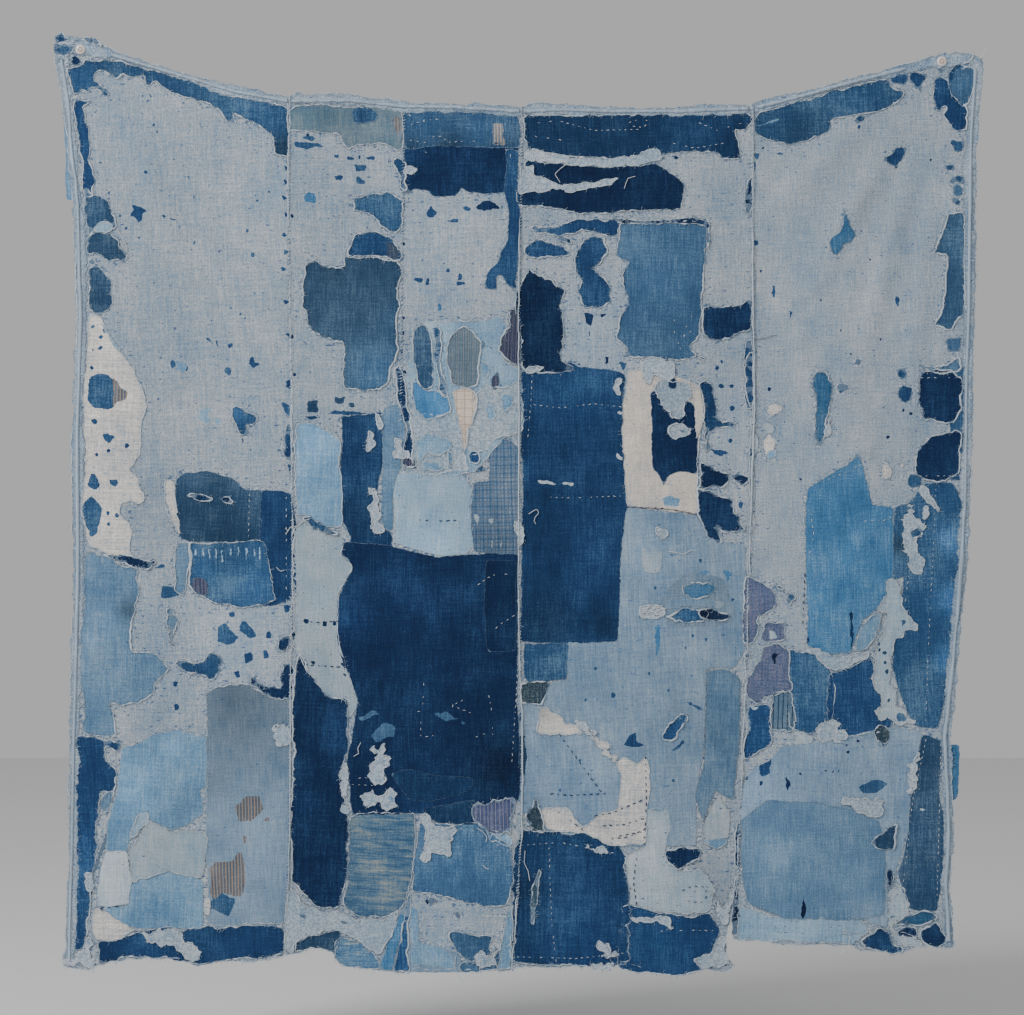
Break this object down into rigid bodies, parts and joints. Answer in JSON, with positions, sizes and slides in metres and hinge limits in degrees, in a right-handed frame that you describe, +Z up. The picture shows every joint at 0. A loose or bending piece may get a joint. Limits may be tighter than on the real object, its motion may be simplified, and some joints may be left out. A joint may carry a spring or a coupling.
{
  "type": "boro patched cloth with two hanging pins",
  "caption": "Square hanging of sewn indigo panels, worn pale, holed and patched, held at its top corners by clear-headed pins.",
  "frame": {"origin": "on the left pin's axis, in the plane of the surface that the cloth hangs against", "axes": "+X right along the surface as seen from the front, +Y through the cloth into the surface along the pins, +Z up"},
  "size_m": [1.3151, 0.0268, 1.328],
  "materials": {
    "worn_cotton": "worn pale indigo plain weave",
    "indigo_cotton": "dark indigo plain weave patches",
    "cream_cotton": "undyed and faded cotton with thread",
    "clear_plastic": "clear moulded pin head",
    "steel": "bright pin shank"
  },
  "bodies": {
    "root": {"panel_1": "worn_cotton", "panel_2": "indigo_cotton", "panel_3": "indigo_cotton", "panel_4": "worn_cotton", "pin_head_left": "clear_plastic", "pin_head_right": "clear_plastic", "pin_shank_left": "steel", "pin_shank_right": "steel"}
  },
  "joints": []
}
